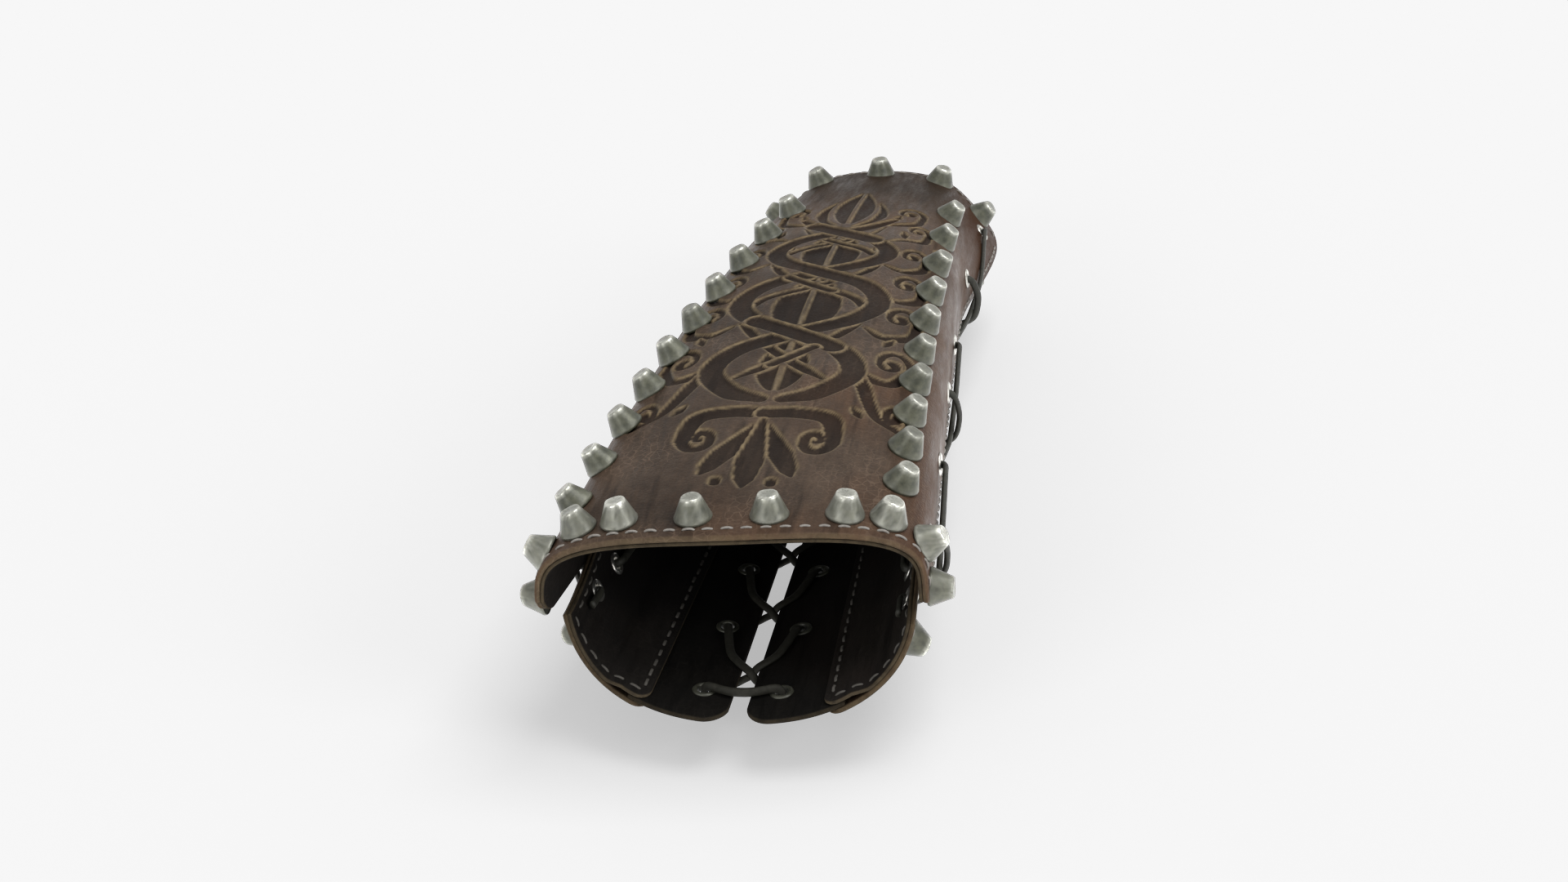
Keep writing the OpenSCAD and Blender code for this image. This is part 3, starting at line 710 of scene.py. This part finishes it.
def strip_grid(angle_a, angle_b, width, r, step):
    """Angles, lengths and shares of the width of a strip between two lines, round by r at the
    corners of its low edge."""
    V, U = np.meshgrid(ticks(width, step), ticks(PL, step))
    k = corner((1 - V) * width, r)
    a, b = angle_a(0.), angle_b(0.)
    y0 = elbow_y(a + (b - a) * V) + k
    a, b = angle_a(PL), angle_b(PL)
    y1 = wrist_y(a + (b - a) * V) - WRIST_BACK - k
    Y = y0 + (y1 - y0) * U
    A, B = angle_a(Y), angle_b(Y)
    return A + (B - A) * V, Y, V


def low_edge(y): return x_angle(panel_low(y), y)
def flap_in(y): return walk(low_edge(y), y, -SEAM)
def flap_gap(y): return x_angle(HALF_GAP, y)
def flap_eye(k): return x_angle(FLAP_EYE_X, pair_y(k))


def over_flap(V):
    """How much deeper the lining lies where the flap is sewn in."""
    return (FT + 2 * SEW) * np.clip((V - 1 + SEWN + STEP) / STEP, 0, 1)


def side_ply(s, sd, what, made, mat, wear):
    """One ply of side s. wear holds the end, the reach and the strength of its worn edge."""
    v, f, d = made
    end, reach, strength = wear
    mesh(f"{sd} {what} leather", m(v * [s, 1, 1]), f if s > 0 else f[:, ::-1], mat, sd + "_side",
         [f"{sd}_{what}".replace(" ", "_")], {"wear": soft((end - d) / reach) * strength})


for s, sd in SIDES:
    T, Y, V = strip_grid(tuck_angle, low_edge, PANEL_ARC, PANEL_ROUND, 1.0)
    holes = [(at(eye_panel(y), y, POFF), HOLE) for y in EYE_C]
    side_ply(s, sd, "side panel", shell(T, Y, POFF, PT, holes, None, .05), panel_mat,
             (1.1, 1.0, .28))
    holes = [(at(eye_panel(y), y, PBACK), HOLE) for y in EYE_C]
    side_ply(s, sd, "side lining", shell(T, Y, PBACK + CLEAR + over_flap(V), LIN - CLEAR, holes),
             lining_mat, (.8, .7, .25))
    T, Y, V = strip_grid(flap_in, flap_gap, FLAP_ARC, FLAP_ROUND, .8)
    holes = [(at(flap_eye(k), pair_y(k), FFRONT), FLAP_HOLE) for k in range(PAIRS)]
    side_ply(s, sd, "lacing flap", shell(T, Y, FFRONT, FT, holes), flap_mat,
             (.7, .6, .1))


# Studs: radius and height of the profile, and how worn it is at each point
RB, RT = 4.8, 2.6
PROF = [(RB - .15, -.35), (RB, -.1), (RB + .02, .35), (RB - .25, .9), (RB - .75, 2.1),
        (RB - 1.25, 3.3), (RB - 1.7, 4.4), (RT + .18, 5.15), (RT + .02, 5.5), (RT - .16, 5.76),
        (RT - .42, 5.88), (RT - .9, 5.84), (RT - 1.5, 5.78), (.02, 5.76)]
WORN = np.array([0, .0, .12, .05, 0, 0, .04, .35, .85, 1, .8, .45, .35, .3])
STUD_EDGE = 8.5  # from the edge to the end rows


def studs(name, places, body, node, shine=0.):
    """places holds the angle, length, depth and side of each stud; shine is extra wear, a painted
    highlight.
    """
    parts, worn = [], []
    for (t, y, off, s) in places:
        v, f = lathe(PROF, 36, .018)
        tilt = rng.normal(0, .03, 2)
        v = v + np.stack([v[:, 2] * tilt[0], v[:, 2] * tilt[1], 0 * v[:, 2]], -1)
        v[:, 2] += .08 * np.sin(v[:, 0] * 1.3 + rng.uniform(0, 6)) * (v[:, 2] > 5)
        parts.append((place(v, t, y, off, s), [q[::-1] for q in f] if s < 0 else f))
        # shine adds to the wear, which pales and polishes the metal: a painted highlight
        one = (np.repeat(WORN, 36) + shine) * np.clip(rng.normal(.75, .2), .35, 1)
        worn.append(one * np.clip(rng.normal(.85, .25, len(v)), .3, 1.1))
    v, f = join(parts)
    mesh(name, m(v), f, pewter, body, [node], {"wear": np.concatenate(worn)})


near = []
for s in (-1, 1):
    angles = [float(arch_angle(q, 0.)) for q in (.196, .58, .797)]
    for a in angles + [float(walk(90., 0., -q)) for q in (9., -2.)]:
        near.append((a, float(plate_edge_y(s * a)) + STUD_EDGE, 0., s))
# Painted highlight: the elbow row gets extra pale, polished wear, as if lit from the front
studs("elbow edge studs", near, "plate", "elbow_row_studs", .2)
far = []
for q in (0., .64, .98):
    a = float(arch_angle(q, PL))
    for s in ((-1, 1) if q else (1,)):
        far.append((a, float(wrist_y(a)) - STUD_EDGE, 0., s))
studs("wrist edge studs", far, "plate", "wrist_row_studs")


def long_row(start, pitch, last):
    """Ten lengths from start, at the pitch near the elbow and wider towards the wrist."""
    return [start + pitch * i + (last - start - pitch * 9) * (i / 9) ** 3 for i in range(10)]


studs("left long row studs",
      [(float(arch_angle(.93 - .4 * y / PL, y)), y, 0., -1) for y in long_row(21, 18.5, .776 * PL)],
      "plate", "left_row_studs")
studs("right long row studs",
      [(float(arch_angle(.835, y)), y, 0., 1) for y in long_row(30.5, 17, .803 * PL)],
      "plate", "right_row_studs")
for s, sd in SIDES:
    # length, and distance below the seam
    spots = [(11, 12.5), (9, 25), (.51 * PL, 14), (274, 13)]
    if s > 0:
        spots.pop(1)
    studs(sd + " side panel studs",
          [(float(walk(seam_angle(float(y)), float(y), d)), float(y), POFF, s) for y, d in spots],
          sd + "_side", sd + "_side_studs")


# Eyelets
def eyelets(name, places, thick, body, node, mat):
    """An upper and a lower half for each place, on a ply or two of the given thickness."""
    b, o = 1.8, 3.1  # radius of the bore and of the flange
    high = [(b, -thick - .1), (b, .1), (b + .12, .34), (b + .38, .5), (b + .75, .5),
            (o - .25, .36), (o, .1), (o - .02, -.02)]
    low = [(o - .02, -thick + .02), (o, -thick - .1), (o - .25, -thick - .36),
           (b + .75, -thick - .5), (b + .38, -thick - .5), (b + .12, -thick - .34),
           (b, -thick - .1)]
    parts = []
    for (t, y, off, s) in places:
        for prof in (high, low):
            v, f = lathe(prof[::-1], 32)
            parts.append((place(v, t, y, off, s), f if s < 0 else [q[::-1] for q in f]))
    v, f = join(parts)
    mesh(name, m(v), f, mat, body, [node])


for s, sd in SIDES:
    eyelets(sd + " plate eyelet rings", [(float(eye_plate(y)), y, 0., s) for y in EYE_P],
            BACK, "plate", sd + "_plate_eyelets", steel)
    eyelets(sd + " panel eyelet rings", [(float(eye_panel(y)), y, POFF, s) for y in EYE_C],
            PT + LIN, sd + "_side", sd + "_panel_eyelets", steel)
    eyelets(sd + " flap eyelet rings",
            [(float(flap_eye(k)), pair_y(k), FFRONT, s) for k in range(PAIRS)],
            FT, sd + "_side", sd + "_flap_eyelets", olive)

# Laces. Depths of a strand over and under the plate, of one that crosses it, and of a strand over
# and under the panel
OP = -(FLANGE + FREE + LR)
OC = OP - 2 * LR - FREE
UP = BACK + FLANGE + FREE + LR
OPN = POFF - FLANGE - FREE - LR
UPN = PBACK + LIN + FLANGE + FREE + LR


def group(a, b, c, d):
    """Route through the plate's eyelets a and b and the panel's c and d."""
    ta, tb, tc, td = eye_plate(a), eye_plate(b), eye_panel(c), eye_panel(d)
    mm = (a + d) / 2
    e = seam_angle(mm)
    q, w = max(c + 6, mm - 7), min(b - 8, mm + 16)
    return [at(eye_panel(c - 5), c - 5, UPN), at(tc, c, UPN), at(tc, c, OPN),
            at(walk(seam_angle(q), q, 1), q, OP), at(e, mm, OP),
            at(walk(seam_angle(w), w, -5), w, OP), at(tb, b - 5, OP), at(tb, b, OP), at(tb, b, UP),
            at(tb, b - 6, UP), at(ta, a + 6, UP), at(ta, a, UP), at(ta, a, OP),
            at(walk(e, mm, -5), mm, OC), at(walk(e, mm, 2), mm, OC),
            at(td, d, OPN), at(td, d, UPN), at(eye_panel(d + 5), d + 5, UPN)]


def inside(y): return at(eye_panel(y), y, UPN + .2)


route = [inside(13.)]
for i, after in ((0, (51., 78.)), (2, (132., 176.)), (4, (231.,))):
    route += group(*EYE_P[i:i + 2], *EYE_C[i:i + 2]) + [inside(y) for y in after]
route = resample(soften(route), .8)
for s, sd in SIDES:
    v, f = tube(route, 1.12, .74, 12)
    if s < 0:
        v, f = v * [-1, 1, 1], [q[::-1] for q in f]
    o = mesh(sd + " side lace thong", m(v), f, lace_mat, "plate", rides=False)
    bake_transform(o)
    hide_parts(sd + "_side_lace")


def belly(x, y, off):
    """Point under the arm at x, which may be on either side."""
    p = at(x_angle(max(abs(x), .2), y), y, off)
    return p * [np.sign(x), 1, 1]


def strand(k, s):
    """From eyelet k of side s, under its flap, up through the gap and across to the next eyelet.
    Of the two that cross, the one from the right lies over the other."""
    y0, y1 = pair_y(k), pair_y(k + 1)
    mm, apart = y0 * .69 + y1 * .31, .75 if s > 0 else -.75
    over, under = FBACK + LR, FFRONT - LR
    return [belly(s * FLAP_EYE_X, y0, LINN), belly(s * FLAP_EYE_X, y0, LOUT),
            belly(s * 6.4, mm - 4.6, under), belly(s * 3.2, mm - 2.5, under),
            belly(s * 1.7, mm - 1.4, under + .5), belly(0, mm, (over + under) / 2 + apart),
            belly(-s * 1.7, mm + 1.4, over - .4), belly(-s * 3.4, mm + 2.8, over + .1),
            belly(-s * 6.8, mm + 6.8, over + .2)]


def chain(s):
    """All strands that start at the first eyelet of side s, and the end that is knotted inside."""
    out = []
    for k in range(PAIRS - 1):
        out += strand(k, s if k % 2 == 0 else -s)
    k = PAIRS - 1
    t = s if k % 2 == 0 else -s
    y = pair_y(k)
    return out + [belly(t * FLAP_EYE_X, y, LINN), belly(t * FLAP_EYE_X, y, LOUT),
                  belly(t * 3.4, y + .8, LOUT), belly(t * 1.1, y + 2.5, LOUT),
                  belly(t * 1.1, y + 4.8, LINN), belly(t * 4.4, y + 6.6, LINN + .3)]


one, two = chain(1), chain(-1)
bar_y = pair_y(0) - 3
whole = one[::-1] + [belly(3, bar_y, LINN + .2), belly(-3, bar_y, LINN + .2)] + two
p = resample(soften(whole), .8)
parts = [tube(p, 1.15, .72, 12, np.tile([0, 0, 1.], (len(p), 1)))]
turn = np.linspace(0, math.pi, 12)
for e in (one[-1], two[-1]):
    v, f = lathe([(1.6 * math.sin(a) + .01, -1.5 * math.cos(a)) for a in turn], 20, .05)
    parts.append((v + e, f))
v, f = join(parts)
cx = np.array([np.mean([v[i][0] for i in q]) for q in f])
for s, sd in SIDES:
    keep = [q for q, c in zip(f, cx) if (c < 0) == (s < 0)]
    o = mesh(sd + " half of the closing lace", m(v), keep, tie_mat, "plate", rides=False)
    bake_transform(o)
    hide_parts("closing_lace")


# Stitching
LENGTH, PITCH = 3.3, 4.6
LIFT = np.array([-.45, -.02, .13, .17, .13, -.02, -.45])  # height of a stitch along its length


def stitches(name, lines, body, mat, rad):
    """Single stitches along lines of (points, direction away from the leather)."""
    parts = []
    for (p, nrm) in lines:
        c = np.concatenate([[0], np.cumsum(np.linalg.norm(np.diff(p, axis=0), axis=1))])
        k = int(c[-1] / PITCH)
        for i in range(k):
            long = np.linspace(-.5, .5, 7) * LENGTH * rng.uniform(.92, 1.05)
            q = (i + .5) * c[-1] / k + long
            a = np.stack([np.interp(q, c, p[:, j]) for j in range(3)], -1)
            nn = np.stack([np.interp(q, c, nrm[:, j]) for j in range(3)], -1)
            a = a + nn * LIFT[:, None] + rng.normal(0, .05, 3)
            parts.append(tube(a, rad * 1.15, rad * .8, 7, nn))
    v, f = join(parts)
    mesh(name, m(v), f, mat, body)


def path(t, y, off, s=1, inward=False):
    """Points of a seam and the direction that it faces."""
    p, nn = at(t, y, off), outward(t, y)
    if inward:
        nn = -nn
    return p * [s, 1, 1], nn * [s, 1, 1]


END_IN, SIDE_IN, PANEL_IN = 3.4, 3.2, 2.6  # from the edge to the seam
share = 2 * np.linspace(.035, .965, 200) - 1
cut = corner((1 - np.abs(share)) * HALF_ARC - 2.8, 5.5)
a0, a1 = share * seam_angle(0.), share * seam_angle(PL)
lines = [path(a0, plate_edge_y(a0) + END_IN + cut, 0.), path(a1, wrist_y(a1) - END_IN - cut, 0.)]
for s in (-1, 1):
    y = np.linspace(float(plate_edge_y(s * seam_angle(0.))) + 9.5,
                    float(wrist_y(seam_angle(PL))) - 9.5, 300)
    lines.append(path(walk(seam_angle(y), y, -SIDE_IN), y, 0., s))
stitches("plate stitching", lines, "plate", thread, .38)
for s, sd in SIDES:
    out, inn = [], []
    share = np.linspace(0.06, .94, 120)
    cut = corner((1 - share) * PANEL_ARC, PANEL_ROUND)
    for end in (0., PL):
        a, b = float(tuck_angle(end)), float(low_edge(end))
        t = a + (b - a) * share
        y = wrist_y(t) - 8. - cut if end else elbow_y(t) + cut + 3.
        out.append(path(t, y, POFF, s))
        inn.append(path(t, y, PBACK + LIN + over_flap(share), s, True))
    y = np.linspace(float(elbow_y(low_edge(0.))) + 5., float(wrist_y(low_edge(PL))) - 10., 300)
    t = walk(low_edge(y), y, -PANEL_IN)
    inn.append(path(t, y, PBACK + LIN + FT + 2 * SEW, s, True))
    out.append(path(t, y, POFF, s))
    y = np.linspace(float(elbow_y(tuck_angle(0.))) + 5., float(wrist_y(tuck_angle(PL))) - 10., 300)
    inn.append(path(walk(tuck_angle(y), y, PANEL_IN), y, PBACK + LIN, s, True))
    stitches(sd + " panel stitching", out, sd + "_side", thread, .36)
    # The inner faces of the seams take the darker thread, painted shade for the inside
    stitches(sd + " lining stitching", inn, sd + "_side", inner_painted_shade_thread, .36)

# Materials of any CAD node that is still shown
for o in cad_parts.values():
    o.data.materials.clear()
    o.data.materials.append(lace_mat)


# Floor, light and camera
def seen_rays(nt):
    """1 for rays of the camera, of reflections and of transmission, else 0."""
    light = nt.nodes.new("ShaderNodeLightPath")
    seen = light.outputs["Is Camera Ray"]
    for ray in ("Is Glossy Ray", "Is Transmission Ray"):
        either = nt.nodes.new("ShaderNodeMath")
        either.operation = "MAXIMUM"
        nt.links.new(seen, either.inputs[0])
        nt.links.new(light.outputs[ray], either.inputs[1])
        seen = either.outputs[0]
    return seen


fm, fnt, fbs = node_mat("studio floor")
fbs.inputs["Base Color"].default_value = (.86, .86, .86, 1)
fbs.inputs["Roughness"].default_value = .9
fbs.inputs["Specular IOR Level"].default_value = 0
glow = fnt.nodes.new("ShaderNodeEmission")
glow.inputs[0].default_value = (1, 1, 1, 1)
fnt.links.new(seen_rays(fnt), glow.inputs[1])
add = fnt.nodes.new("ShaderNodeAddShader")
fnt.links.new(fbs.outputs[0], add.inputs[0])
fnt.links.new(glow.outputs[0], add.inputs[1])
fout = [q for q in fnt.nodes if q.type == "OUTPUT_MATERIAL"][0]
fnt.links.new(add.outputs[0], fout.inputs[0])
OPEN_DROP = .0125  # room for the sides, which reach below the part as they open
bpy.ops.mesh.primitive_plane_add(size=8, location=(0, 0, -OPEN_DROP))
floor = bpy.context.object
floor.name = "studio_floor"
floor.data.materials.append(fm)
floor.is_shadow_catcher = True

sc = bpy.context.scene
world = bpy.data.worlds.new("studio")
sc.world = world
world.use_nodes = True
nt = world.node_tree
nt.nodes.clear()
wo = nt.nodes.new("ShaderNodeOutputWorld")
mx = nt.nodes.new("ShaderNodeMixShader")
nt.links.new(seen_rays(nt), mx.inputs[0])
for i, level, power in ((1, 1, .55), (2, .93, 1.)):  # what lights the part, and what is seen
    bg = nt.nodes.new("ShaderNodeBackground")
    bg.inputs[0].default_value = (*grey(level), 1)
    bg.inputs[1].default_value = power
    nt.links.new(bg.outputs[0], mx.inputs[i])
nt.links.new(mx.outputs[0], wo.inputs[0])


def area(name, loc, target, size, power):
    """Lamp at loc that looks at target."""
    ld = bpy.data.lights.new(name, "AREA")
    ld.shape = "RECTANGLE"
    ld.size, ld.size_y, ld.energy = size[0], size[1], power
    o = bpy.data.objects.new(name, ld)
    o.location = loc
    o.rotation_euler = (Vector(target) - Vector(loc)).to_track_quat("-Z", "Y").to_euler()
    sc.collection.objects.link(o)


area("key", (.3, -.05, .9), (0, -.03, .03), (.7, .5), 7.5)
area("side", (.9, -.5, .5), (0, 0, .03), (.5, .5), 4)
area("front", (-.5, -1., .5), (0, -.1, .02), (.6, .4), 3.5)

cam = bpy.data.cameras.new("camera")
co = bpy.data.objects.new("camera", cam)
sc.collection.objects.link(co)
sc.camera = co
cam.lens, cam.sensor_width, cam.sensor_fit = 50, 36, "HORIZONTAL"
# Place, direction and right-hand side of the camera, fitted to the photo
eye = [.1086, (-448. - MID) * .001, .29735]
fw = np.array([-.1817, .8818, -.4351])
rt = np.array([.9832, .1687, -.0686])
fw /= np.linalg.norm(fw)
rt -= rt @ fw * fw
rt /= np.linalg.norm(rt)
upv = np.cross(rt, fw)
co.matrix_world = Matrix([[rt[i], upv[i], -fw[i], eye[i]] for i in range(3)] + [[0, 0, 0, 1]])
cam.clip_start, cam.clip_end = .01, 20

sc.view_settings.view_transform = "Standard"
